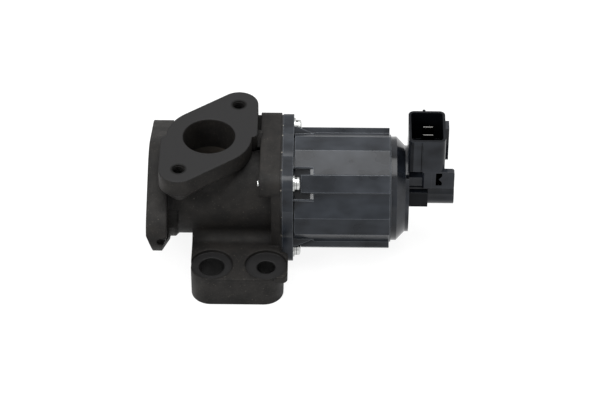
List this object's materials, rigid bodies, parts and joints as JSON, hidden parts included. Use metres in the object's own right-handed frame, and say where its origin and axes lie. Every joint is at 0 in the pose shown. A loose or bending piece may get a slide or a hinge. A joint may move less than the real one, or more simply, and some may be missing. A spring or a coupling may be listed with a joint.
{
  "type": "exhaust gas recirculation valve",
  "caption": "Solenoid operated exhaust gas recirculation valve: cast body with flanged ports and a foot, faceted plastic solenoid housing and a bladed connector.",
  "frame": {"origin": "centre of the inlet port on the face of the inlet flange", "axes": "+X along the valve towards the connector, +Z out of the outlet port, +Y away from the foot's holes"},
  "size_m": [0.1582, 0.1001, 0.075],
  "materials": {
    "cast_iron": "sand cast with a dark dull coating, faces machined",
    "seat_steel": "machined heat resistant steel",
    "valve_steel": "ground stainless steel",
    "spring_steel": "oil tempered wire",
    "gasket_steel": "beaded sheet steel",
    "bronze": "sintered bronze",
    "magnet_iron": "turned soft iron",
    "copper_wire": "enamelled winding wire",
    "bobbin_plastic": "glass filled nylon",
    "seal_rubber": "moulded fluoro rubber",
    "housing_plastic": "moulded glass filled plastic with a soft gloss",
    "cover_plastic": "moulded black plastic",
    "tinned_brass": "tin plated",
    "zinc_steel": "bright zinc plate"
  },
  "bodies": {
    "casing": {"valve_body": "cast_iron", "valve_seat": "seat_steel", "stem_bush": "bronze", "spring_cup": "seat_steel", "return_spring": "spring_steel", "gasket": "gasket_steel", "solenoid_housing": "housing_plastic", "spigot_seal": "seal_rubber", "cover_seal": "seal_rubber", "rod_wiper": "seal_rubber", "front_pole": "magnet_iron", "front_rod_bush": "bronze", "rear_rod_bush": "bronze", "stop_shim": "bronze", "plunger_sleeve": "bronze", "coil_bobbin": "bobbin_plastic", "coil_winding": "copper_wire", "yoke_tube": "magnet_iron", "rear_pole": "magnet_iron", "wave_washer": "spring_steel", "end_cover": "cover_plastic", "terminal_blades": "tinned_brass", "flange_screws": "zinc_steel", "flat_washers": "zinc_steel", "spring_washers": "zinc_steel"},
    "valve": {"valve_stem": "valve_steel", "valve_poppet": "valve_steel", "spring_retainer": "seat_steel", "retainer_clip": "seat_steel"},
    "armature": {"plunger": "magnet_iron", "push_rod": "valve_steel"}
  },
  "joints": [
    {"name": "plunger_stroke", "type": "slide", "parent": "casing", "child": "armature", "axis": [-1, 0, 0], "range_m": [0, 0.006]},
    {"name": "valve_lift", "type": "slide", "parent": "casing", "child": "valve", "axis": [-1, 0, 0], "range_m": [0, 0.006], "deforming": ["return_spring"]}
  ],
  "couplings": [
    {"joint": "valve_lift", "follows": "plunger_stroke", "ratio": 1}
  ]
}
